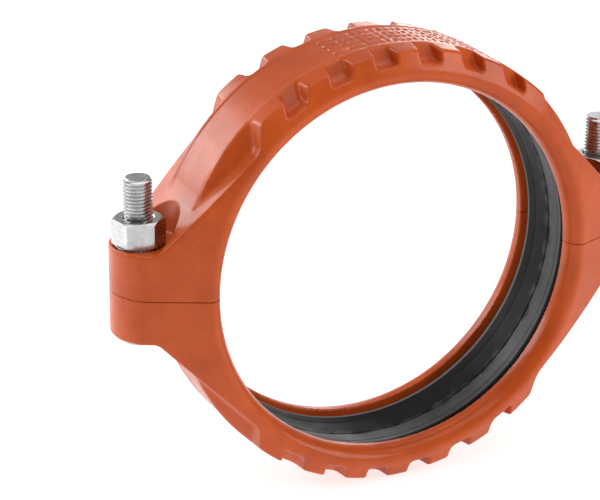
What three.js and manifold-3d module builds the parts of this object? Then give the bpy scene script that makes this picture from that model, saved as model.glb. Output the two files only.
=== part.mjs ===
// A two-segment, two-bolt rigid coupling for grooved steel pipe, nominal size 14 in (DN 350).
// Millimetres. +Y runs along the pipe, +Z along the bolts with the nuts on top, +X towards a bolt pad.
// The origin is on the pipe's axis, midway along the coupling, in the plane where the two halves meet.
import * as THREE from "three";
import { mergeVertices } from "three/addons/utils/BufferGeometryUtils.js";
import Module from "manifold-3d";

const wasm = await Module();
wasm.setup();

// ---- Driving dimensions -------------------------------------------------------------------------

const GAP = 0.3; // clearance kept between pieces that touch
const RING_SEGMENTS = 96;
const GASKET_SEGMENTS = 64;
const ROUND_SEGMENTS = 32;
const OVAL_SEGMENTS = 8; // per half of a small curve

// Pipe and groove
const PIPE_RADIUS = 355.6 / 2;
const GROOVE_RADIUS = 342.9 / 2;
const KEY_RADIUS = GROOVE_RADIUS + 0.55; // the two keys sit in the pipe grooves
const KEY_INSIDE = 39.5; // axial start of a key, from the middle
const KEY_OUTSIDE = 51; // axial end of its cylindrical land
const MOUTH_RADIUS = PIPE_RADIUS + 2.7; // where the lead-in bevel meets the end face

// Housing ring
const HALF_WIDTH = 59;
const LAND_RADIUS = MOUTH_RADIUS + 3; // each end face is flat from the mouth out to here
const FACE_SLOPE = 0.45; // beyond that it falls back like a shallow cone, arms and all
const BAND_RADIUS = 205;
const BAND_HALF_WIDTH = 31; // at its outer edge
const WALL_FOOT = 44; // how far from the middle plane its slanted side walls reach the flange
const FLANGE_RADIUS = MOUTH_RADIUS + 8.5; // the low flange between and beside the lugs
const CAVITY_RADIUS = BAND_RADIUS - 10;
const CAVITY_HALF_WIDTH = 24; // at its outer wall
const SHOULDER_RADIUS = KEY_RADIUS + 8; // where the cavity's slanted wall starts

// Lugs around the rim. The casting is drawn upwards, so they are evenly spaced in X and have upright flanks.
const LUGS_PER_SIDE = 3; // on each side of the one at the top
const LUG_PITCH = 42;
const LUG_SHIFT = 2.5; // the middle lug stands a little to one side
const LUG_HALF = 10.2; // half of its thickness at the top
const LUG_DRAFT = 0.08; // how much each flank spreads per unit of depth
const LUG_DEPTH = 30; // far enough down to be buried in the ring
const LUG_TOP_FALL = 2.5; // from the band to the outer end of its top
const LUG_TOP_HALF_WIDTH = 52;
const LUG_FACE_HEIGHT = 9; // its end stands up from the end face by this much

// Bolt pads and the arms that carry them
const BOLT_OFFSET = 229;
const PAD_HEIGHT = 41.1;
const PAD_END = BOLT_OFFSET + 25.5;
const PAD_SEAT = 37.4;
const SEAT_RADIUS = 22.6; // takes a bolt head below, or a washer sunk level with the pad above
const WRENCH_RADIUS = 35.5; // clearance for a socket, cut into the arm
const HOLE_HALF_WIDTH = 13.8;
const HOLE_HALF_LENGTH = 17.6; // the holes are oval, so they hold the bolts' oval necks

// Fasteners: 1 in track bolts, 5.5 in long, with heavy hex nuts and flat washers
const BOLT_RADIUS = 12.7;
const BOLT_LENGTH = 139.7;
const BOLT_CHAMFER = 1.8;
const HEAD_RADIUS = 22;
const HEAD_HEIGHT = 14;
const NECK_HEIGHT = 11;
const NECK_HALF_WIDTH = 13.2;
const NECK_HALF_LENGTH = 16.8;
const WASHER_RADIUS = 20.5;
const WASHER_BORE = 13.6;
const WASHER_THICKNESS = 3.4;
const NUT_FLATS = 41.3;
const NUT_HEIGHT = 24.6;
const NUT_BORE = 13;
const NUT_CHAMFER_DROP = 2.4;
const NUT_TURN = { left: -15, right: 8 }; // how far each nut happens to be turned, in degrees

// Gasket, a C-shaped pressure-responsive seal
const SEAL_RADIUS = CAVITY_RADIUS - 0.6;
const SEAL_TOP_HALF = CAVITY_HALF_WIDTH - 0.6;
const SEAL_HALF_WIDTH = KEY_INSIDE - 0.8;
const SEAL_INNER_RADIUS = PIPE_RADIUS - 1.4; // stretched on to the pipe when fitted
const LIP_GAP_HALF = 1.5;
const LIP_THICKNESS = 2.6; // at the tip
const LIP_ROOT_THICKNESS = 5.1;
const HOLLOW_HALF = 29;
const HOLLOW_RADIUS = SEAL_RADIUS - 7.4;

// ---- Turning three.js geometry into solids and back ---------------------------------------------

function toSolid(geometry) {
  const bare = geometry.clone();
  bare.deleteAttribute("normal");
  bare.deleteAttribute("uv");
  const merged = mergeVertices(bare, 1e-4);
  const corners = merged.index.array;
  const kept = [];
  for (let i = 0; i < corners.length; i += 3) {
    const [a, b, c] = corners.slice(i, i + 3);
    if (a !== b && b !== c && c !== a) kept.push(a, b, c);
  }
  return new wasm.Manifold(
    new wasm.Mesh({
      numProp: 3,
      vertProperties: merged.attributes.position.array,
      triVerts: new Uint32Array(kept),
    }),
  );
}

function toGeometry(body) {
  const mesh = body.getMesh();
  return new THREE.BufferGeometry()
    .setAttribute("position", new THREE.BufferAttribute(mesh.vertProperties, 3))
    .setIndex(new THREE.BufferAttribute(mesh.triVerts, 1))
    .toNonIndexed();
}

const joined = (bodies) => bodies.reduce((whole, body) => whole.add(body));
const cut = (body, tools) => tools.reduce((rest, tool) => rest.subtract(tool), body);

// ---- Shapes ---------------------------------------------------------------------------------------

// A solid of revolution about Y. Each point is [radius, y].
function revolved(points, segments = RING_SEGMENTS) {
  const profile = points.map(([radius, y]) => new THREE.Vector2(radius, y));
  return toSolid(new THREE.LatheGeometry(profile, segments));
}

// A half profile, listed from the end face inwards, used on both sides of the middle plane.
const bothSides = (half) => [...half.map(([radius, y]) => [radius, -y]), ...half.toReversed()];

// An outline in X and Z, extruded along Y through the whole width of the coupling.
function acrossWidth(shape) {
  const depth = 2 * HALF_WIDTH;
  const geometry = new THREE.ExtrudeGeometry(shape, { depth, bevelEnabled: false });
  return toSolid(geometry.rotateX(Math.PI / 2).translate(0, depth / 2, 0));
}

// An outline in X and Y, extruded along Z.
function upright(shape, low, high, curveSegments = OVAL_SEGMENTS) {
  const options = { depth: high - low, bevelEnabled: false, curveSegments };
  return toSolid(new THREE.ExtrudeGeometry(shape, options).translate(0, 0, low));
}

const polygon = (points) => new THREE.Shape(points.map(([x, y]) => new THREE.Vector2(x, y)));

function ellipse(halfX, halfY) {
  const shape = new THREE.Shape();
  shape.absellipse(0, 0, halfX, halfY, 0, 2 * Math.PI);
  return shape;
}

function post(radius, low, high) {
  const geometry = new THREE.CylinderGeometry(radius, radius, high - low, ROUND_SEGMENTS);
  return toSolid(geometry.rotateX(Math.PI / 2).translate(0, 0, (low + high) / 2));
}

// ---- Housing half -----------------------------------------------------------------------------------

// How far from the middle plane an end face is at a given radius.
const faceAt = (radius) => HALF_WIDTH - FACE_SLOPE * Math.max(0, radius - LAND_RADIUS);

// Everything between the two end faces, out to a given radius.
function betweenFaces(radius) {
  return revolved(
    bothSides([
      [0, HALF_WIDTH],
      [LAND_RADIUS, HALF_WIDTH],
      [radius, faceAt(radius)],
    ]),
  );
}

// The band, with slanted side walls down to a low flange at each end face.
function bandAndFlanges() {
  return revolved(
    bothSides([
      [0, HALF_WIDTH],
      [LAND_RADIUS, HALF_WIDTH],
      [FLANGE_RADIUS, faceAt(FLANGE_RADIUS)],
      [FLANGE_RADIUS, WALL_FOOT],
      [BAND_RADIUS, BAND_HALF_WIDTH],
    ]),
  );
}

// Lugs stand on the flanges, their tops flush with the band.
function lugs() {
  const topEnd = BAND_RADIUS - LUG_TOP_FALL;
  const face = topEnd - LUG_FACE_HEIGHT;
  const envelope = revolved(
    bothSides([
      [0, HALF_WIDTH],
      [LAND_RADIUS, HALF_WIDTH],
      [face, faceAt(face)],
      [topEnd, LUG_TOP_HALF_WIDTH],
      [BAND_RADIUS, BAND_HALF_WIDTH],
    ]),
  );
  const blocks = [];
  for (let i = -LUGS_PER_SIDE; i <= LUGS_PER_SIDE; i++) {
    const middle = i * LUG_PITCH + LUG_SHIFT;
    const top = Math.sqrt(BAND_RADIUS ** 2 - middle ** 2);
    const foot = LUG_HALF + LUG_DRAFT * LUG_DEPTH;
    const crown = LUG_HALF - LUG_DRAFT * LUG_DEPTH;
    const outline = polygon([
      [middle - foot, top - LUG_DEPTH],
      [middle + foot, top - LUG_DEPTH],
      [middle + crown, top + LUG_DEPTH],
      [middle - crown, top + LUG_DEPTH],
    ]);
    blocks.push(acrossWidth(outline));
  }
  return envelope.intersect(joined(blocks));
}

// An arm: seen along the pipe it leaves the flange on a 45 degree tangent and ends level at the bolt pad.
// Its sides are the end faces carried outwards, and seen from above the pad ends in a round nose.
function arm() {
  const tangent = FLANGE_RADIUS * Math.SQRT1_2;
  const crest = 2 * tangent - PAD_HEIGHT;
  const side = polygon([
    [tangent, tangent],
    [KEY_RADIUS / 2, tangent],
    [KEY_RADIUS / 2, 0],
    [PAD_END + 1, 0],
    [PAD_END + 1, PAD_HEIGHT],
    [crest, PAD_HEIGHT],
  ]);
  const cheek = faceAt(BOLT_OFFSET);
  const nose = PAD_END - 12; // where the cheeks start to curve in strongly
  const plan = new THREE.Shape();
  plan.moveTo(0, -HALF_WIDTH);
  plan.lineTo(LAND_RADIUS, -HALF_WIDTH);
  plan.lineTo(BOLT_OFFSET, -cheek);
  plan.bezierCurveTo(nose, -cheek + 8, PAD_END, -cheek / 2, PAD_END, 0);
  plan.bezierCurveTo(PAD_END, cheek / 2, nose, cheek - 8, BOLT_OFFSET, cheek);
  plan.lineTo(LAND_RADIUS, HALF_WIDTH);
  plan.lineTo(0, HALF_WIDTH);
  const outline = acrossWidth(side).intersect(upright(plan, 0, BAND_RADIUS));
  return outline.intersect(betweenFaces(PAD_END + 10));
}

// The space inside: mouth bevels, keys and the gasket cavity with its slanted walls.
function insideSpace() {
  return revolved(
    bothSides([
      [0, HALF_WIDTH + 1],
      [MOUTH_RADIUS + 1, HALF_WIDTH + 1],
      [KEY_RADIUS, KEY_OUTSIDE],
      [KEY_RADIUS, KEY_INSIDE],
      [SHOULDER_RADIUS, KEY_INSIDE],
      [CAVITY_RADIUS, CAVITY_HALF_WIDTH],
    ]),
  );
}

// What a bolt needs: an oval hole, a washer seat and room for a socket.
function boltCuts() {
  return [
    upright(ellipse(HOLE_HALF_LENGTH, HOLE_HALF_WIDTH), -1, PAD_SEAT + 1),
    post(SEAT_RADIUS, PAD_SEAT, PAD_HEIGHT + 1),
    post(WRENCH_RADIUS, PAD_HEIGHT, BAND_RADIUS),
  ].map((tool) => tool.translate([BOLT_OFFSET, 0, 0]));
}

function housingHalf() {
  const right = arm();
  const left = right.rotate([0, 0, 180]);
  const whole = joined([bandAndFlanges(), lugs(), left, right]);
  const cuts = boltCuts();
  const body = cut(whole, [insideSpace(), ...cuts, ...cuts.map((tool) => tool.rotate([0, 0, 180]))]);
  const above = new THREE.BoxGeometry(4 * BAND_RADIUS, 4 * HALF_WIDTH, 2 * BAND_RADIUS);
  return body.intersect(toSolid(above.translate(0, 0, BAND_RADIUS + GAP / 2)));
}

// ---- Gasket -----------------------------------------------------------------------------------------

function gasketRing() {
  const half = [
    [SEAL_RADIUS, SEAL_TOP_HALF],
    [SHOULDER_RADIUS - 0.6, SEAL_HALF_WIDTH],
    [SEAL_INNER_RADIUS + 2, SEAL_HALF_WIDTH],
    [SEAL_INNER_RADIUS, SEAL_HALF_WIDTH - 2],
    [SEAL_INNER_RADIUS, LIP_GAP_HALF + 1],
    [SEAL_INNER_RADIUS + LIP_THICKNESS, LIP_GAP_HALF],
    [SEAL_INNER_RADIUS + LIP_ROOT_THICKNESS, HOLLOW_HALF - 2],
    [SEAL_INNER_RADIUS + LIP_ROOT_THICKNESS + 2, HOLLOW_HALF],
    [HOLLOW_RADIUS, HOLLOW_HALF - 4],
  ];
  const section = bothSides(half.toReversed());
  return revolved([...section, section[0]], GASKET_SEGMENTS);
}

// ---- Fasteners, each on its own Z axis with the bolt's seat or its own underside at z = 0 -------------

const lathedUpright = (points) => revolved(points, ROUND_SEGMENTS).rotate([90, 0, 0]);

// A track bolt: domed round head below z = 0, oval neck, then a plain rod at the thread's outside size.
function trackBolt() {
  const headAndRod = lathedUpright([
    [0, -HEAD_HEIGHT],
    [HEAD_RADIUS * 0.55, -HEAD_HEIGHT * 0.93],
    [HEAD_RADIUS * 0.85, -HEAD_HEIGHT * 0.7],
    [HEAD_RADIUS, -HEAD_HEIGHT * 0.3],
    [HEAD_RADIUS, -GAP],
    [BOLT_RADIUS, -GAP],
    [BOLT_RADIUS, BOLT_LENGTH - BOLT_CHAMFER],
    [BOLT_RADIUS - BOLT_CHAMFER, BOLT_LENGTH],
    [0, BOLT_LENGTH],
  ]);
  return headAndRod.add(upright(ellipse(NECK_HALF_LENGTH, NECK_HALF_WIDTH), -2, NECK_HEIGHT));
}

const flatWasher = () =>
  post(WASHER_RADIUS, 0, WASHER_THICKNESS).subtract(post(WASHER_BORE, -1, WASHER_THICKNESS + 1));

// A heavy hex nut: a hexagon whose corners are turned down by a cone at both ends.
function hexNut() {
  const corner = NUT_FLATS / Math.sqrt(3);
  const hexagon = new THREE.Shape(
    Array.from({ length: 6 }, (_, i) => {
      const angle = (i * Math.PI) / 3;
      return new THREE.Vector2(corner * Math.cos(angle), corner * Math.sin(angle));
    }),
  );
  const turned = lathedUpright([
    [0, 0],
    [NUT_FLATS / 2, 0],
    [corner + 0.4, NUT_CHAMFER_DROP],
    [corner + 0.4, NUT_HEIGHT - NUT_CHAMFER_DROP],
    [NUT_FLATS / 2, NUT_HEIGHT],
    [0, NUT_HEIGHT],
  ]);
  const bore = post(NUT_BORE, -1, NUT_HEIGHT + 1);
  return upright(hexagon, 0, NUT_HEIGHT).intersect(turned).subtract(bore);
}

// ---- Assembly ---------------------------------------------------------------------------------------

const enamel = () =>
  new THREE.MeshStandardMaterial({ color: 0xd0552f, roughness: 0.35, metalness: 0 });
const rubber = () =>
  new THREE.MeshStandardMaterial({ color: 0x2b2b2d, roughness: 0.45, metalness: 0 });
const zinc = () =>
  new THREE.MeshStandardMaterial({ color: 0xc8c9c6, roughness: 0.3, metalness: 1 });

function piece(name, body, material) {
  const mesh = new THREE.Mesh(toGeometry(body), material);
  mesh.name = name;
  return mesh;
}

function fastenerSet(side, sign) {
  const washer = piece(`washer_${side}`, flatWasher(), zinc());
  washer.position.z = PAD_SEAT + GAP;
  const nut = piece(`nut_${side}`, hexNut(), zinc());
  nut.position.z = PAD_SEAT + WASHER_THICKNESS + 2 * GAP;
  nut.rotation.z = THREE.MathUtils.degToRad(NUT_TURN[side]);
  const bolt = piece(`bolt_${side}`, trackBolt(), zinc());
  bolt.position.z = -PAD_SEAT;
  const set = new THREE.Group();
  set.position.x = sign * BOLT_OFFSET;
  return set.add(bolt, washer, nut);
}

const half = housingHalf();
const upper = piece("upper_housing", half, enamel());
const lower = piece("lower_housing", half, enamel());
lower.rotation.x = Math.PI; // the same casting, turned over about the line through the bolts
const gasket = piece("gasket", gasketRing(), rubber());

const coupling = new THREE.Group();
coupling.add(upper, lower, gasket, fastenerSet("left", -1), fastenerSet("right", 1));
export default coupling;
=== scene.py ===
"""A two-segment rigid coupling for 14 in grooved pipe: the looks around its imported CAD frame.

The two housing halves are one casting, made as the zero surface of a distance function, so that
its fillets, hollows and rounded edges run into each other as they do on a cast part. The gasket,
bolts, nuts and washers are turned profiles, the bolts with a real helical thread. Sizes are in
millimetres until a mesh is made, and the frame gives the driving ones.
"""
import math

import bmesh
import bpy
import numpy as np
from mathutils import Matrix, Vector


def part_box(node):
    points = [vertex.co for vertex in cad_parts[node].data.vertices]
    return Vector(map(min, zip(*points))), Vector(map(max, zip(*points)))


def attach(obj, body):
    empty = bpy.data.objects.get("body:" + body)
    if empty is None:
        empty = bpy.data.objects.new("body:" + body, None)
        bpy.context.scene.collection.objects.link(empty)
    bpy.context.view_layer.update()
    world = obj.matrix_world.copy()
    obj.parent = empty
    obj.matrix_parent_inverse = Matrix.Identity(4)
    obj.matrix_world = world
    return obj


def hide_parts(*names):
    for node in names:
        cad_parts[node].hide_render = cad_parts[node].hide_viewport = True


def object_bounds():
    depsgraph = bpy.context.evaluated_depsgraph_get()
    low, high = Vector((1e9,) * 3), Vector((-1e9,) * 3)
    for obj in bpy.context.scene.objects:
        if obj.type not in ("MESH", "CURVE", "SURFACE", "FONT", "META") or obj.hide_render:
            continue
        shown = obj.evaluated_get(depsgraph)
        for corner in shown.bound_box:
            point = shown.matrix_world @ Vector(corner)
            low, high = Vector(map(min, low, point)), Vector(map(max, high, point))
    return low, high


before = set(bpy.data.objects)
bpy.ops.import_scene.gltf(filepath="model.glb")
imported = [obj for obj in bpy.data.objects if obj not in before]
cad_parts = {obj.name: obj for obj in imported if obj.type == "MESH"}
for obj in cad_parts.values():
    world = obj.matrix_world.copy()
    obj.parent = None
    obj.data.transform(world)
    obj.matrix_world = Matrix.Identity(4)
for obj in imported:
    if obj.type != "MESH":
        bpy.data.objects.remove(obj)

CAD_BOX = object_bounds()
MM = 0.001
INCH = 25.4


def box_mm(node):
    """A CAD node's lowest and highest corners, in millimetres."""
    low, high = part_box(node)
    return np.array(low) / MM, np.array(high) / MM


# ---- Sizes ---------------------------------------------------------------------------------------

HALF_LOW, HALF_HIGH = box_mm("upper_housing")
PAD_END, HALF_WIDTH, CROWN = HALF_HIGH
PARTING = HALF_LOW[2]

SEAL_RADIUS, SEAL_HALF_WIDTH, _ = box_mm("gasket")[1]

BOLT_LOW, BOLT_HIGH = box_mm("bolt_right")
BOLT_OFFSET = (BOLT_LOW[0] + BOLT_HIGH[0]) / 2
HEAD_RADIUS = (BOLT_HIGH[1] - BOLT_LOW[1]) / 2
WASHER_LOW, WASHER_HIGH = box_mm("washer_right")
NUT_LOW, NUT_HIGH = box_mm("nut_right")

# The ring
KEY_RADIUS = 172.0
KEY_INSIDE = 39.5
KEY_OUTSIDE = 51.0
MOUTH_RADIUS = 180.5
LAND_RADIUS = MOUTH_RADIUS + 3
FACE_SLOPE = 0.45
BAND_RADIUS = CROWN - 0.6
RIM_INSIDE = 26.0
RIM_RISE = 0.5
RIM_RUN = 0.7
BAND_HALF_WIDTH = 31.0
FLANGE_RADIUS = MOUTH_RADIUS + 8.5
WALL_FOOT = 44.0
SEAL_CLEARANCE = 0.6
CAVITY_RADIUS = SEAL_RADIUS + SEAL_CLEARANCE
CAVITY_HALF_WIDTH = 24.0
SHOULDER_RADIUS = KEY_RADIUS + 8

# The lugs: 3 each side of the middle one, with the flange a little higher between them
LUGS_PER_SIDE = 3
LUG_PITCH = 42.0
LUG_SHIFT = 2.5
LUG_HALF = 10.2
LUG_DRAFT = 0.08
LAST_LUG_DRAFT = 0.14
LUG_FLARE = 0.12
LUG_TOP_FALL = 0.06
LUG_REACH = 50.0
LEDGE_RISE = 2.0
LEDGE_END = 130.0
LEDGE_RUN = 12.0

# Raised bars in the place of lettering, in two rows each side of the middle. A bar rises to its full
# height between the two values of its sides, and of its ends
MARKS_START = -57.0
MARKS_END = 118.0
MARK_PITCH = 6.5
MARK_LENGTH = 6.5
MARK_ROWS = (5.5, 17.0)
MARK_RISE = 0.8
MARK_SIDES = (-0.2, 0.5)
MARK_ENDS = (-0.4, 0.6)
MARKS_FADE = 1.0

# The arms and bolt pads
PAD_HEIGHT = WASHER_HIGH[2]
SEAT_GAP = 0.3
PAD_SEAT = WASHER_LOW[2] - SEAT_GAP
NOSE_RADIUS = 41.8
NOSE_CENTRE = PAD_END - NOSE_RADIUS
SEAT_RADIUS = HEAD_RADIUS + 0.6
WRENCH_RADIUS = 35.5
HOLE_HALF_LENGTH = 17.6
HOLE_HALF_WIDTH = 13.8

# Rounded edges of the casting, and the fillets in its corners
MOUTH_ROUNDING = 4.0
KEY_ROUNDING = 5.0
LAND_ROUNDING = 2.0
TOP_ROUNDING = 1.8
FACE_ROUNDING = 1.8
NOSE_ROUNDING = 2.0
WRENCH_ROUNDING = 1.5
CAVITY_ROUNDING = 0.8
SEAT_ROUNDING = 0.5
PARTING_ROUNDING = 0.45
LUG_FILLET = 3.0
FOOT_FILLET = 3.5
PAD_FILLET = 3.0

# The gasket: its lips slope in to a slot in the middle, and a fine line runs round each
PIPE_RADIUS = 355.6 / 2
SEAL_INSIDE = PIPE_RADIUS - 1.4
SEAL_BEVEL = 4.5
LIP_THICKNESS = 6.2
LIP_FALL = 3.6
LIP_LINE = 20.6
LINE_HALF_WIDTH = 0.9
SLOT_HALF_WIDTH = 0.4
SEAL_WALL = 7.4

# The bolts and their thread
BOLT_RADIUS = INCH / 2
PITCH = INCH / 8
THREAD_DEPTH = 1.75
THREAD_LENGTH = 70.0
SHANK_RELIEF = 0.6
TIP_CHAMFER = 1.9
TIP_SLOPE = 0.95
DOME_HEIGHT = 9.5
DOME_STEPS = 12
NECK_HALF_LENGTH = 16.8
NECK_HALF_WIDTH = 13.2
NECK_HEIGHT = 9.5

# The nuts and washers
ACROSS_FLATS = 41.3
NUT_BORE_RADIUS = 13.0
NUT_LEAD_IN = 1.3
CORNER_DROP = 1.9
WASHER_BORE_RADIUS = 13.6

# The rubber's painted light, by how far along the pipe it is: the ragged edge of the painted sheen on its
# front lip, the painted shadow along its front rim and the painted highlight along its back rim
SHEEN_RAGGEDNESS = 8.0
SHEEN_HALF_EDGE = 4.0
SHADOW_RIM_SPAN = (-28.5, -26.2)
HIGHLIGHT_RIM_SPAN = (30.0, 31.2)

# The grid that the casting is sampled on, with closer rows at its parting plane
GRID_STEP = 1.75
PARTING_ROWS = (-0.9, -0.3, 0.3, 0.9, 1.8)
SETTLE_SHARE = 0.4
LEAST_SLOPE = 0.3
NORMAL_REACH = 0.15

# The brightness of the room: low down, half-way up and overhead, and its share on the camera's side
WORLD_LOW = 0.5
WORLD_MIDDLE = 0.25
WORLD_HIGH = 1.0
CAMERA_SIDE = 0.6


# ---- Implicit modelling: distances are negative inside -------------------------------------------


def union_round(a, b, radius):
    """Two bodies joined, with a concave fillet between them."""
    u = np.maximum(radius - a, 0)
    v = np.maximum(radius - b, 0)
    return np.maximum(radius, np.minimum(a, b)) - np.hypot(u, v)


def both_round(a, b, radius):
    """What two bodies share, with its edge rounded."""
    u = np.maximum(radius + a, 0)
    v = np.maximum(radius + b, 0)
    return np.minimum(-radius, np.maximum(a, b)) + np.hypot(u, v)


def slant(p, q, run, rise):
    """Distance past a slanted line through p = q = 0, where p grows by the run as q falls by the rise."""
    return (p * rise + q * run) / math.hypot(run, rise)


def mouth_bevel(r, w):
    """The lead-in bevel of the mouth, whose far side is to be cut away."""
    return slant(KEY_OUTSIDE - w, r - KEY_RADIUS, HALF_WIDTH - KEY_OUTSIDE, MOUTH_RADIUS - KEY_RADIUS)


def end_face(r, w):
    """The end faces: a narrow flat land that rolls into the mouth, and a shallow cone out over the arms."""
    cone = (w - HALF_WIDTH + FACE_SLOPE * (r - LAND_RADIUS)) / math.hypot(1, FACE_SLOPE)
    face = both_round(w - HALF_WIDTH, cone, LAND_ROUNDING)
    return both_round(face, -mouth_bevel(r, w), MOUTH_ROUNDING)


def flange_and_arms(r, a, z):
    """The low flange, a little higher between the lugs, which runs straight out over each arm from the
    point at 45 degrees."""
    ledge = LEDGE_RISE * smooth_step(-a, -LEDGE_END, LEDGE_RUN - LEDGE_END)
    return np.where(z > a, r, (a + z) / math.sqrt(2)) - FLANGE_RADIUS - ledge


def lug_flank(x, w, z):
    """How far outside the nearest lug's two flanks a point is. The lugs are evenly spaced in x, and
    their flanks are upright, slightly drafted, and spread towards the band."""
    number = np.clip(np.round((x - LUG_SHIFT) / LUG_PITCH), -LUGS_PER_SIDE, LUGS_PER_SIDE)
    middle = number * LUG_PITCH + LUG_SHIFT
    top = np.sqrt(BAND_RADIUS**2 - middle**2)
    last_end = (np.abs(number) == LUGS_PER_SIDE) & ((x - middle) * number > 0)
    draft = np.where(last_end, LAST_LUG_DRAFT, LUG_DRAFT)
    spread = LUG_FLARE * np.maximum(LUG_REACH - w, 0)
    return np.abs(x - middle) - LUG_HALF - spread - draft * (top - z)


def smooth_step(value, start, end):
    """Rises from 0 to 1 between two values."""
    t = np.clip((value - start) / (end - start), 0, 1)
    return t * t * (3 - 2 * t)


def raised_marks(x, z, w):
    """Plain raised bars on the crown of the band, in the place of cast lettering."""
    along = BAND_RADIUS * np.arctan2(x, z)
    begun = smooth_step(along, MARKS_START, MARKS_START + MARKS_FADE)
    not_over = smooth_step(-along, -MARKS_END, MARKS_FADE - MARKS_END)
    bar = smooth_step(np.cos(2 * math.pi * along / MARK_PITCH), *MARK_SIDES)
    row = sum(smooth_step(MARK_LENGTH / 2 - np.abs(w - middle), *MARK_ENDS) for middle in MARK_ROWS)
    return MARK_RISE * begun * not_over * bar * row


def band_and_lugs(x, r, w, z):
    """The band with its slanted sides, and the lugs standing out from them, under one smooth top."""
    run = WALL_FOOT - BAND_HALF_WIDTH
    wall = slant(w - BAND_HALF_WIDTH, r - BAND_RADIUS, run, BAND_RADIUS - FLANGE_RADIUS)
    outline = union_round(wall, lug_flank(x, w, z), LUG_FILLET)
    between_rims = smooth_step(-w, -RIM_INSIDE - RIM_RUN, RIM_RUN - RIM_INSIDE)
    crown = BAND_RADIUS - RIM_RISE * between_rims + raised_marks(x, z, w)
    top = r - crown + LUG_TOP_FALL * np.maximum(w - BAND_HALF_WIDTH, 0)
    return both_round(top, outline, TOP_ROUNDING)


def pipe_space(r, w):
    """What is cut out for the pipe ends and the gasket: mouth bevels, key lands and the cavity."""
    opening = -both_round(KEY_RADIUS - r, -mouth_bevel(r, w), KEY_ROUNDING)
    run = CAVITY_RADIUS - SHOULDER_RADIUS
    wall = slant(r - SHOULDER_RADIUS, w - KEY_INSIDE, run, KEY_INSIDE - CAVITY_HALF_WIDTH)
    cavity = np.maximum(np.maximum(r - CAVITY_RADIUS, w - KEY_INSIDE), wall)
    return np.minimum(opening, cavity)


def nose(out, w):
    """The round end of a pad, seen from above, and the tangents that carry it on towards the ring."""
    across = 1 / math.hypot(1, FACE_SLOPE)
    along = FACE_SLOPE * across
    straight = w * along > out * across
    return np.where(straight, along * out + across * w, np.hypot(out, w)) - NOSE_RADIUS


def bolt_space(bolt_x, y, z):
    """The oval hole and the washer seat."""
    oval = (np.hypot(bolt_x / HOLE_HALF_LENGTH, y / HOLE_HALF_WIDTH) - 1) * HOLE_HALF_WIDTH
    seat = np.maximum(np.hypot(bolt_x, y) - SEAT_RADIUS, PAD_SEAT - z)
    return np.minimum(oval, seat)


def casting(x, y, z):
    """Distance to one housing half, the upper one."""
    r = np.hypot(x, z)
    w = np.abs(y)
    a = np.abs(x)
    bolt_x = a - BOLT_OFFSET
    rim = union_round(band_and_lugs(x, r, w, z), flange_and_arms(r, a, z), FOOT_FILLET)
    rim = both_round(rim, WRENCH_RADIUS - np.hypot(bolt_x, y), WRENCH_ROUNDING)
    body = union_round(rim, z - PAD_HEIGHT, PAD_FILLET)
    body = both_round(body, nose(a - NOSE_CENTRE, w), NOSE_ROUNDING)
    body = both_round(body, end_face(r, w), FACE_ROUNDING)
    body = both_round(body, -pipe_space(r, w), CAVITY_ROUNDING)
    body = both_round(body, -bolt_space(bolt_x, y, z), SEAT_ROUNDING)
    return both_round(body, PARTING - z, PARTING_ROUNDING)


CORNERS = [(i, j, k) for i in (0, 1) for j in (0, 1) for k in (0, 1)]


def is_edge(p, q):
    """Whether a cell's edge runs from one of its corners up to another."""
    return sum(q) == sum(p) + 1 and all(m >= n for m, n in zip(q, p))


def corner_slices(field, i, j, k):
    """The field at one corner of every cell."""
    n = [size - 1 for size in field.shape]
    return field[i : i + n[0], j : j + n[1], k : k + n[2]]


def net_vertices(field, cells, axes):
    """One place in each of the cells: the mean of where the zero level crosses the cell's edges."""
    total = np.zeros((len(cells), 3))
    hits = np.zeros(len(cells))
    for p, q in [(p, q) for p in CORNERS for q in CORNERS if is_edge(p, q)]:
        start = field[tuple((cells + p).T)]
        end = field[tuple((cells + q).T)]
        crossed = (start < 0) != (end < 0)
        share = np.where(crossed, start / np.where(crossed, start - end, 1), 0)
        point = np.array(p) + share[:, None] * (np.array(q) - np.array(p))
        total += crossed[:, None] * point
        hits += crossed
    places = cells + total / hits[:, None]
    return np.stack([np.interp(places[:, n], np.arange(len(axes[n])), axes[n]) for n in range(3)], axis=1)


def net_quads(field, number, axis):
    """A quad round each grid edge along one axis that the zero level crosses, through its four cells."""
    b, c = [other for other in range(3) if other != axis]
    ahead = np.moveaxis(field, axis, 0)
    low = np.moveaxis(ahead[:-1], 0, axis)
    high = np.moveaxis(ahead[1:], 0, axis)
    places = np.argwhere((low < 0) != (high < 0))
    ring = []
    for db, dc in ((1, 1), (0, 1), (0, 0), (1, 0)):
        cell = places.copy()
        cell[:, b] -= db
        cell[:, c] -= dc
        ring.append(number[tuple(cell.T)])
    ring = np.stack(ring, axis=1)
    outward = (low[tuple(places.T)] < 0) == (axis == 1)
    ring[outward] = ring[outward][:, ::-1]
    return ring


def surface_net(field, axes):
    """Vertices and quads over the zero level of a field on a grid: one vertex in each cell it crosses."""
    count = sum(corner_slices(field, *corner) < 0 for corner in CORNERS)
    cells = np.argwhere((count > 0) & (count < len(CORNERS)))
    number = np.full(count.shape, -1)
    number[tuple(cells.T)] = np.arange(len(cells))
    quads = [net_quads(field, number, axis) for axis in range(3)]
    return net_vertices(field, cells, axes), np.concatenate(quads)


def gradient(distance, points, reach=0.05):
    """The direction in which a distance grows, at each point."""
    slopes = []
    for axis in range(3):
        offset = np.zeros(3)
        offset[axis] = reach
        ahead = distance(*(points + offset).T)
        behind = distance(*(points - offset).T)
        slopes.append((ahead - behind) / (2 * reach))
    return np.stack(slopes, axis=1)


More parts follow.
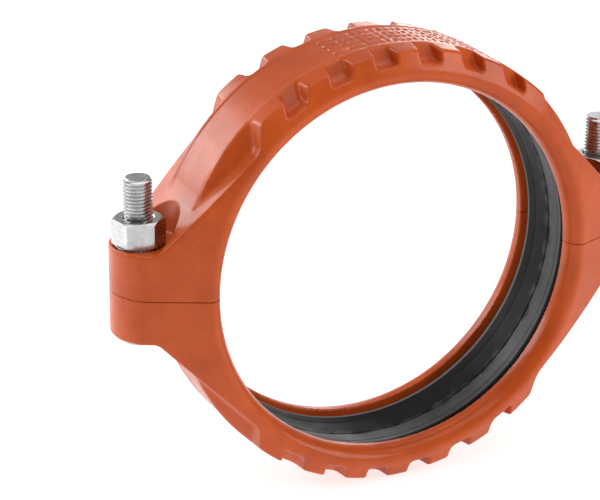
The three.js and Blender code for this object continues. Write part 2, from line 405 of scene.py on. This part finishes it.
def settle(distance, points, limit, rounds=4):
    """Moves points on to the zero level, none of them further than the limit in a round."""
    for _ in range(rounds):
        slope = gradient(distance, points)
        length = np.maximum(np.linalg.norm(slope, axis=1), LEAST_SLOPE)
        move = np.clip(distance(*points.T) / length, -limit, limit)
        points = points - slope * (move / length)[:, None]
    return points


def housing_mesh():
    """One half, sampled on one side of the middle plane and mirrored, because both sides are the same."""
    step = GRID_STEP
    across = np.arange(step / 2, PAD_END + 2 * step, step)
    across = np.concatenate([-across[::-1], across])
    along = np.arange(step / 2, HALF_WIDTH + 2 * step, step)
    lowest = PARTING + np.array(PARTING_ROWS)
    up = np.concatenate([lowest, np.arange(lowest[-1] + step, CROWN + 2 * step, step)])
    x, y, z = np.meshgrid(across, along, up, indexing="ij")
    field = casting(x, y, z)
    field = np.concatenate([field[:, ::-1], field], axis=1)
    axes = (across, np.concatenate([-along[::-1], along]), up)
    vertices, quads = surface_net(field, axes)
    vertices = settle(casting, vertices, SETTLE_SHARE * step)
    vertices[:, 2] = np.maximum(vertices[:, 2], PARTING)
    slope = gradient(casting, vertices, NORMAL_REACH)
    normals = slope / np.maximum(np.linalg.norm(slope, axis=1), 1e-6)[:, None]
    mesh = mesh_from(vertices, quads, "housing_half")
    mesh.normals_split_custom_set_from_vertices(normals)
    return mesh


# ---- Meshes and pieces ---------------------------------------------------------------------------


def mesh_from(vertices, faces, name):
    """A smooth-shaded mesh in metres from places in millimetres."""
    mesh = bpy.data.meshes.new(name)
    mesh.from_pydata((np.asarray(vertices) * MM).tolist(), [], np.asarray(faces).tolist())
    mesh.update()
    mesh.shade_smooth()
    return mesh


def add_object(name, data):
    """A new object in the scene."""
    thing = bpy.data.objects.new(name, data)
    bpy.context.scene.collection.objects.link(thing)
    return thing


def piece(name, mesh, body, material, node):
    """A finished piece: it rides on a body and stands for its CAD node."""
    thing = add_object(name, mesh)
    mesh.materials.clear()
    mesh.materials.append(material)
    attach(thing, body)
    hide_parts(node)


# ---- Materials -----------------------------------------------------------------------------------


def set_stops(color_ramp, stops):
    """Gives a colour ramp its stops, each of them a position and a colour."""
    points = color_ramp.elements
    while len(points) < len(stops):
        points.new(0.5)
    for point, (position, colour) in zip(points, stops):
        point.position = position
        point.color = (*colour, 1)


class Nodes:
    """A short way to write a node tree."""

    def __init__(self, name):
        self.material = bpy.data.materials.new(name)
        self.material.use_nodes = True
        self.tree = self.material.node_tree
        self.shader = self.tree.nodes["Principled BSDF"]

    def add(self, kind, settings=None, **inputs):
        """A node: settings are its properties, and inputs its sockets, by value or by a link."""
        node = self.tree.nodes.new(kind)
        for key, value in (settings or {}).items():
            setattr(node, key, value)
        for key, value in inputs.items():
            self.feed(node.inputs[key.replace("_", " ")], value)
        return node

    def feed(self, socket, value):
        """Links a socket to another one, or sets its value."""
        if isinstance(value, bpy.types.NodeSocket):
            self.tree.links.new(value, socket)
        else:
            socket.default_value = value

    def place(self):
        """Where a point is on the object, in metres."""
        return self.add("ShaderNodeTexCoord").outputs["Object"]

    def noise(self, scale, detail, roughness=0.5):
        """Cloudy noise over the object, about 0.3 to 0.7."""
        made = self.add("ShaderNodeTexNoise", Vector=self.place(), Scale=scale, Detail=detail)
        self.feed(made.inputs["Roughness"], roughness)
        return made.outputs["Fac"]

    def ramp(self, value, *stops):
        """Maps a value to colours: each stop is (position, colour)."""
        node = self.add("ShaderNodeValToRGB", Fac=value)
        set_stops(node.color_ramp, stops)
        return node.outputs["Color"]

    def span(self, value, low, high, start=0.3, end=0.7):
        """Maps a value from start..end to low..high."""
        node = self.add("ShaderNodeMapRange", Value=value, From_Min=start, From_Max=end)
        self.feed(node.inputs["To Min"], low)
        self.feed(node.inputs["To Max"], high)
        return node.outputs["Result"]

    def mix(self, share, a, b):
        """Colour a where the share is 0, and b where it is 1: the node's colour sockets go by number."""
        node = self.add("ShaderNodeMix", {"data_type": "RGBA"})
        self.feed(node.inputs[0], share)
        self.feed(node.inputs[6], a if isinstance(a, bpy.types.NodeSocket) else (*a, 1))
        self.feed(node.inputs[7], b if isinstance(b, bpy.types.NodeSocket) else (*b, 1))
        return node.outputs[2]

    def math(self, operation, a, b):
        """A sum, product or other result of two values."""
        node = self.add("ShaderNodeMath", {"operation": operation})
        self.feed(node.inputs[0], a)
        self.feed(node.inputs[1], b)
        return node.outputs[0]

    def bump(self, height, strength, distance, below=None):
        """A bumpy normal, on top of another one if there is one below."""
        node = self.add("ShaderNodeBump", Height=height, Strength=strength, Distance=distance)
        if below is not None:
            self.tree.links.new(below, node.inputs["Normal"])
        return node.outputs["Normal"]

    def finish(self, **inputs):
        """Feeds the shader's sockets and gives the material."""
        for key, value in inputs.items():
            self.feed(self.shader.inputs[key.replace("_", " ")], value)
        return self.material


def enamel_material():
    """Glossy orange enamel over the grain of a sand casting, with a painted highlight on its edges and
    painted shade in its corners.
    """
    n = Nodes("orange_enamel")
    colour = n.ramp(n.noise(16, 6, 0.62), (0.32, (0.43, 0.058, 0.006)), (0.64, (0.585, 0.088, 0.011)))
    edge_light_and_corner_shade = n.add("ShaderNodeNewGeometry").outputs["Pointiness"]
    # Painted highlight: convex edges are lightened towards a paler orange.
    colour = n.mix(n.span(edge_light_and_corner_shade, 0.0, 0.45, 0.53, 0.64), colour, (0.62, 0.15, 0.07))
    # Painted shade: hollows and inside corners are darkened towards a deep brown.
    colour = n.mix(n.span(edge_light_and_corner_shade, 0.6, 0.0, 0.38, 0.47), colour, (0.21, 0.022, 0.005))
    normal = n.bump(n.noise(1100, 2, 0.5), 0.35, 0.0001)
    normal = n.bump(n.noise(210, 3, 0.5), 0.5, 0.0004, normal)
    rough = n.span(n.noise(40, 6, 0.65), 0.27, 0.46)
    return n.finish(Base_Color=colour, Roughness=rough, Normal=normal, Specular_IOR_Level=0.15,
                    Coat_Weight=0.3, Coat_Roughness=0.16)


def rubber_material():
    """Black moulded rubber, with a ragged grey painted sheen on the front lip, a painted shadow along the
    front rim and a painted highlight along the back one.
    """
    n = Nodes("black_rubber")
    depth = n.add("ShaderNodeSeparateXYZ", Vector=n.place()).outputs["Y"]
    # Painted sheen: the front lip is made greyer than the back one as its reflection, with a ragged edge.
    ragged = n.span(n.noise(55, 5, 0.6), -SHEEN_RAGGEDNESS * MM, SHEEN_RAGGEDNESS * MM)
    ragged = n.math("ADD", depth, ragged)
    front_lip_sheen = n.span(ragged, 1.0, 0.0, -SHEEN_HALF_EDGE * MM, SHEEN_HALF_EDGE * MM)
    # Painted shadow: the front rim beside the key is darkened almost to black and loses most of its shine.
    front_rim_shadow = n.span(depth, 1.0, 0.0, SHADOW_RIM_SPAN[0] * MM, SHADOW_RIM_SPAN[1] * MM)
    # Painted highlight: the back rim is lightened to a pale grey.
    back_rim_highlight = n.span(depth, 0.0, 1.0, HIGHLIGHT_RIM_SPAN[0] * MM, HIGHLIGHT_RIM_SPAN[1] * MM)
    dark = n.ramp(n.noise(35, 5), (0.35, (0.005, 0.005, 0.006)), (0.75, (0.011, 0.011, 0.012)))
    pale = n.ramp(n.noise(90, 5), (0.35, (0.030, 0.030, 0.031)), (0.75, (0.055, 0.055, 0.056)))
    colour = n.mix(front_lip_sheen, dark, pale)
    colour = n.mix(front_rim_shadow, colour, (0.002, 0.002, 0.002))
    colour = n.mix(back_rim_highlight, colour, (0.16, 0.16, 0.16))
    shine = n.span(front_lip_sheen, 0.13, 0.30, 0.0, 1.0)
    shine = n.math("MULTIPLY", shine, n.span(front_rim_shadow, 1.0, 0.1, 0.0, 1.0))
    rough = n.span(n.noise(45, 5), 0.42, 0.55)
    normal = n.bump(n.noise(500, 2), 0.25, 0.0001)
    normal = n.bump(n.noise(28, 2), 0.5, 0.0008, normal)
    return n.finish(Base_Color=colour, Roughness=rough, Normal=normal, Specular_IOR_Level=shine)


def zinc_material():
    """Bright zinc plating, a little mottled and uneven."""
    n = Nodes("zinc_steel")
    colour = n.ramp(n.noise(120, 4), (0.3, (0.42, 0.43, 0.44)), (0.7, (0.57, 0.57, 0.57)))
    rough = n.span(n.noise(220, 4), 0.20, 0.32)
    normal = n.bump(n.noise(700, 3), 0.3, 0.00012)
    return n.finish(Base_Color=colour, Roughness=rough, Normal=normal, Metallic=1.0)


# ---- Turned pieces -------------------------------------------------------------------------------


def grid_faces(rows, columns, closed=True):
    """Faces over a grid of points numbered row by row. A closed grid joins its last column to its first."""
    faces = []
    for i in range(rows - 1):
        for k in range(columns if closed else columns - 1):
            a = i * columns + k
            b = i * columns + (k + 1) % columns
            faces.append((a, b, b + columns, a + columns))
    return faces


def skin(rings, name):
    """A surface through rings of points, each an array of places, its last ring joined to its first."""
    rings = np.asarray(rings, float)
    count, around, _ = rings.shape
    faces = np.array(grid_faces(count + 1, around)) % (count * around)
    return mesh_from(rings.reshape(-1, 3), faces, name)


def turned(rows, angles, centre=(0, 0, 0)):
    """Rings about an upright axis. Each row is (radius, height), numbers or arrays over the angles."""
    rings = []
    for radius, height in rows:
        radius = np.broadcast_to(radius, angles.shape)
        height = np.broadcast_to(height, angles.shape)
        rings.append(np.stack([radius * np.cos(angles), radius * np.sin(angles), height], axis=1))
    return np.array(rings) + np.array(centre)


def rounded(profile, radius, steps=3):
    """A closed profile with each of its corners replaced by an arc-like curve of that size."""
    points = [np.array(p, float) for p in profile]
    longest_cut = 0.45
    smooth = []
    for before, here, after in zip(points[-1:] + points[:-1], points, points[1:] + points[:1]):
        into = here - before
        out = after - here
        cut_in = min(radius, longest_cut * np.linalg.norm(into))
        cut_out = min(radius, longest_cut * np.linalg.norm(out))
        start = here - into / np.linalg.norm(into) * cut_in
        end = here + out / np.linalg.norm(out) * cut_out
        for t in np.linspace(0, 1, steps + 1):
            smooth.append((1 - t) ** 2 * start + 2 * t * (1 - t) * here + t**2 * end)
    return smooth


def even_angles(count):
    """Angles evenly round a circle."""
    return np.arange(count) * 2 * math.pi / count


def shade_by_angle(mesh, degrees):
    """Shades a mesh smooth, apart from edges that turn by more than an angle."""
    mesh.shade_smooth()
    mesh.set_sharp_from_angle(angle=math.radians(degrees))
    return mesh


def gasket_mesh():
    """The seal: a C in section, its two lips turned in towards the middle."""
    lip_inside = SEAL_INSIDE + LIP_THICKNESS
    half = [
        (SEAL_RADIUS, CAVITY_HALF_WIDTH - SEAL_CLEARANCE),
        (SHOULDER_RADIUS - SEAL_CLEARANCE, SEAL_HALF_WIDTH),
        (SEAL_INSIDE + SEAL_BEVEL + 1, SEAL_HALF_WIDTH),
        (SEAL_INSIDE + 0.6, SEAL_HALF_WIDTH - SEAL_BEVEL),
        (SEAL_INSIDE, SEAL_HALF_WIDTH - SEAL_BEVEL - 2),
        (SEAL_INSIDE + 1.7, LIP_LINE + LINE_HALF_WIDTH),
        (SEAL_INSIDE + 2.2, LIP_LINE),
        (SEAL_INSIDE + 1.8, LIP_LINE - LINE_HALF_WIDTH),
        (SEAL_INSIDE + LIP_FALL, 5 * SLOT_HALF_WIDTH),
        (SEAL_INSIDE + LIP_FALL + 0.4, SLOT_HALF_WIDTH),
        (lip_inside, SLOT_HALF_WIDTH),
        (lip_inside, CAVITY_HALF_WIDTH + 3),
        (lip_inside + 1.2, CAVITY_HALF_WIDTH + 5),
        (SEAL_RADIUS - SEAL_WALL, CAVITY_HALF_WIDTH + 1),
    ]
    section = rounded(half + [(r, -y) for r, y in reversed(half)], 0.9)
    angles = even_angles(192)
    rings = []
    for radius, y in section:
        depth = np.full(angles.shape, y)
        rings.append(np.stack([radius * np.cos(angles), depth, radius * np.sin(angles)], axis=1))
    return shade_by_angle(skin(rings, "gasket_ring"), 50)


def thread_points(low, high, columns):
    """A thread wound up between two heights: rows of points round the helix, each across one pitch.
    Its first and last turns are drawn in to a circle at each height. The groove is listed as places
    along one pitch and how much of the thread's depth is cut away there."""
    groove = np.array([(0, 1), (0.13, 1), (0.44, 0), (0.56, 0), (0.87, 1), (1, 1)])
    turns = (high - low) / PITCH + 1
    winding = np.arange(math.ceil(turns * columns) + 1) / columns
    height = low + PITCH * (winding[:, None] - 1 + groove[:, 0])
    height = np.clip(height, low, high)
    fade = np.clip((height - low) / (2 * PITCH), 0, 1)
    radius = BOLT_RADIUS - THREAD_DEPTH * groove[:, 1] * fade - SHANK_RELIEF * (1 - fade)
    radius = np.minimum(radius, BOLT_RADIUS - TIP_CHAMFER + TIP_SLOPE * (high - height))
    angle = 2 * math.pi * winding[:, None]
    return np.stack([radius * np.cos(angle), radius * np.sin(angle), height], axis=2)


def welded(parts, name):
    """One closed mesh from pieces of surface whose edges meet: each is (points, faces)."""
    shell = bmesh.new()
    nearest = 0.005 * MM
    for points, faces in parts:
        corners = [shell.verts.new(point) for point in np.asarray(points).reshape(-1, 3) * MM]
        for face in faces:
            shell.faces.new([corners[n] for n in face])
    bmesh.ops.remove_doubles(shell, verts=shell.verts, dist=nearest)
    bmesh.ops.dissolve_degenerate(shell, edges=shell.edges, dist=nearest)
    bmesh.ops.recalc_face_normals(shell, faces=shell.faces)
    mesh = bpy.data.meshes.new(name)
    shell.to_mesh(mesh)
    shell.free()
    return mesh


def bolt_rows(angles, seat, thread_start):
    """The turned part of a bolt: domed head, oval neck and plain shank, from the bottom up."""
    low = BOLT_LOW[2]
    shank = BOLT_RADIUS - SHANK_RELIEF
    neck = NECK_HALF_LENGTH * NECK_HALF_WIDTH
    neck = neck / np.hypot(NECK_HALF_WIDTH * np.cos(angles), NECK_HALF_LENGTH * np.sin(angles))
    rows = [(0, low)]
    for t in np.linspace(0.08, 1, DOME_STEPS) * math.pi / 2:
        rows.append((HEAD_RADIUS * math.sin(t), low + DOME_HEIGHT * (1 - math.cos(t))))
    rows += [(HEAD_RADIUS, seat - 1.2), (HEAD_RADIUS - 0.3, seat - 0.5), (HEAD_RADIUS - 1, seat - SEAT_GAP)]
    rows += [(neck + 0.4, seat - SEAT_GAP), (neck, seat + 0.2)]
    rows += [(neck, seat + NECK_HEIGHT), (neck - 0.5, seat + NECK_HEIGHT + 1.5)]
    rows += [(shank, seat + NECK_HEIGHT + 3), (shank, thread_start)]
    return rows


def bolt_mesh(centre):
    """A track bolt: domed head, oval neck, plain shank, then a helical thread up to a chamfered end."""
    columns = 72
    angles = even_angles(columns)
    high = BOLT_HIGH[2]
    thread_start = high - THREAD_LENGTH
    rows = bolt_rows(angles, -PAD_SEAT, thread_start)
    lower = (turned(rows, angles), grid_faces(len(rows), columns))
    winding = thread_points(thread_start, high, columns)
    thread = (winding, grid_faces(*winding.shape[:2], closed=False))
    tip_radius = BOLT_RADIUS - TIP_CHAMFER
    tip = [(tip_radius, high), (tip_radius - 0.5, high), (0, high)]
    end = (turned(tip, angles), grid_faces(len(tip), columns))
    mesh = welded([lower, thread, end], "track_bolt")
    mesh.transform(Matrix.Translation((centre * MM, 0, 0)))
    return shade_by_angle(mesh, 40)


def nut_mesh(centre, turn):
    """A heavy hex nut: six flats, with the corners turned down by a cone at both ends."""
    flats = ACROSS_FLATS / 2
    face = flats - 0.9
    edge = flats - 0.35
    low = NUT_LOW[2]
    high = NUT_HIGH[2]
    angles = even_angles(72)
    in_flat = angles % (math.pi / 3) - math.pi / 6
    hexagon = flats / np.cos(in_flat)
    corner = flats / math.cos(math.pi / 6)
    drop = 0.3 + (hexagon - flats) * CORNER_DROP / (corner - flats)
    rows = [
        (NUT_BORE_RADIUS + NUT_LEAD_IN, low),
        (face, low),
        (edge, low + 0.08),
        (hexagon, low + drop),
        (hexagon, (low + high) / 2),
        (hexagon, high - drop),
        (edge, high - 0.08),
        (face, high),
        (NUT_BORE_RADIUS + NUT_LEAD_IN, high),
        (NUT_BORE_RADIUS, high - 1.5),
        (NUT_BORE_RADIUS, low + 1.5),
    ]
    return shade_by_angle(skin(turned(rows, angles + turn, (centre, 0, 0)), "hex_nut"), 28)


def washer_mesh(centre):
    """A flat washer with stamped, slightly rounded edges."""
    low = WASHER_LOW[2]
    high = WASHER_HIGH[2]
    inner = WASHER_BORE_RADIUS
    outer = (WASHER_HIGH[1] - WASHER_LOW[1]) / 2
    profile = rounded([(inner, low), (outer, low), (outer, high), (inner, high)], 0.5)
    return shade_by_angle(skin(turned(profile, even_angles(72), (centre, 0, 0)), "flat_washer"), 50)


# ---- The object ----------------------------------------------------------------------------------


def build_coupling():
    """Every piece of the coupling. The lower casting is the upper one turned over about the x axis."""
    enamel = enamel_material()
    rubber = rubber_material()
    zinc = zinc_material()
    half = housing_mesh()
    piece("upper_casting", half, "upper_half", enamel, "upper_housing")
    turned_over = half.copy()
    turned_over.transform(Matrix.Rotation(math.pi, 4, "X"))
    piece("lower_casting", turned_over, "lower_half", enamel, "lower_housing")
    piece("seal_ring", gasket_mesh(), "gasket_ring", rubber, "gasket")
    for side, sign, turn in (("left", -1, -15), ("right", 1, 8)):
        centre = sign * BOLT_OFFSET
        bolt = bolt_mesh(centre)
        washer = washer_mesh(centre)
        nut = nut_mesh(centre, math.radians(turn))
        piece("threaded_bolt_" + side, bolt, "lower_half", zinc, "bolt_" + side)
        piece("flat_washer_" + side, washer, "upper_half", zinc, "washer_" + side)
        piece("heavy_nut_" + side, nut, side + "_nut", zinc, "nut_" + side)


# ---- Stage ---------------------------------------------------------------------------------------


def floor():
    """A plain pale floor under the lowest lug."""
    mesh = bpy.data.meshes.new("floor")
    size = 30
    level = CAD_BOX[0][2]
    corners = [(-size, -size, level), (size, -size, level), (size, size, level), (-size, size, level)]
    mesh.from_pydata(corners, [], [(0, 1, 2, 3)])
    pale = Nodes("pale_floor").finish(Base_Color=(0.45, 0.45, 0.45, 1), Roughness=0.7,
                                      Emission_Color=(1, 1, 1, 1), Emission_Strength=0.75)
    mesh.materials.append(pale)
    add_object("floor", mesh)


def camera():
    """The viewing angle: from the left of the pipe's axis and above, rolled very slightly."""
    place = Vector((-0.8970, -1.8215, 0.7743))
    yaw, pitch, roll = (math.radians(angle) for angle in (24.276, 20.871, 0.547))
    ahead = Vector((math.sin(yaw) * math.cos(pitch), math.cos(yaw) * math.cos(pitch), -math.sin(pitch)))
    level = Vector((math.cos(yaw), -math.sin(yaw), 0))
    upward = level.cross(ahead)
    right = math.cos(roll) * level + math.sin(roll) * upward
    top = math.cos(roll) * upward - math.sin(roll) * level
    data = bpy.data.cameras.new("camera")
    data.lens = 143.16
    data.sensor_width = 36
    data.clip_end = 100
    thing = add_object("camera", data)
    thing.matrix_world = Matrix.Translation(place) @ Matrix((right, top, -ahead)).transposed().to_4x4()
    bpy.context.scene.camera = thing


def softbox(name, place, target, size, power):
    """A rectangular lamp at a place, turned to face its target."""
    data = bpy.data.lights.new(name, "AREA")
    data.shape = "RECTANGLE"
    data.size, data.size_y = size
    data.energy = power
    thing = add_object(name, data)
    thing.location = place
    thing.rotation_euler = (Vector(target) - Vector(place)).to_track_quat("-Z", "Y").to_euler()


def studio_world():
    """A white room, seen white but lighting the object less: dimmest half-way up and near the camera."""
    world = bpy.data.worlds.new("white_room")
    bpy.context.scene.world = world
    world.use_nodes = True
    tree = world.node_tree
    direction = tree.nodes.new("ShaderNodeTexCoord").outputs["Generated"]
    parts = tree.nodes.new("ShaderNodeSeparateXYZ")
    tree.links.new(direction, parts.inputs[0])
    ramp = tree.nodes.new("ShaderNodeValToRGB")
    tree.links.new(parts.outputs["Z"], ramp.inputs[0])
    levels = [(0.0, WORLD_LOW), (0.38, WORLD_LOW)]
    levels += [(0.52, WORLD_MIDDLE), (0.85, WORLD_MIDDLE), (1.0, WORLD_HIGH)]
    set_stops(ramp.color_ramp, [(position, (level, level, level)) for position, level in levels])
    side = tree.nodes.new("ShaderNodeMapRange")
    tree.links.new(parts.outputs["Y"], side.inputs["Value"])
    side.inputs["From Min"].default_value = -0.6
    side.inputs["From Max"].default_value = 0.8
    side.inputs["To Min"].default_value = CAMERA_SIDE
    side.inputs["To Max"].default_value = 1.0
    lit = tree.nodes["Background"]
    tree.links.new(ramp.outputs["Color"], lit.inputs["Color"])
    tree.links.new(side.outputs["Result"], lit.inputs["Strength"])
    seen = tree.nodes.new("ShaderNodeBackground")
    seen.inputs["Color"].default_value = (1, 1, 1, 1)
    both = tree.nodes.new("ShaderNodeMixShader")
    path = tree.nodes.new("ShaderNodeLightPath")
    tree.links.new(path.outputs["Is Camera Ray"], both.inputs[0])
    tree.links.new(lit.outputs[0], both.inputs[1])
    tree.links.new(seen.outputs[0], both.inputs[2])
    tree.links.new(both.outputs[0], tree.nodes["World Output"].inputs["Surface"])


def lights():
    """Plain soft studio light: softboxes overhead and at the right in front, and weaker ones round it."""
    studio_world()
    softbox("top_softbox", (0.2, 0.0, 2.6), (0, 0, 0), (3.2, 3.2), 40)
    softbox("back_softbox", (-1.0, 1.9, 0.6), (-0.1, 0, 0), (1.3, 0.8), 13)
    softbox("floor_softbox", (-0.85, 0.45, 0.35), (-0.85, 0.45, -0.2), (0.7, 0.7), 7)
    softbox("front_softbox", (-0.7, -1.6, 1.9), (0, 0, 0), (0.6, 0.5), 3)
    softbox("right_softbox", (1.65, -1.4, 0.9), (0.1, 0, 0), (1.4, 1.1), 22)
    softbox("back_right_softbox", (1.15, 1.85, 0.35), (0, 0, 0.2), (1.0, 0.5), 5)
    bpy.context.scene.view_settings.view_transform = "Standard"


camera()
build_coupling()
floor()
lights()
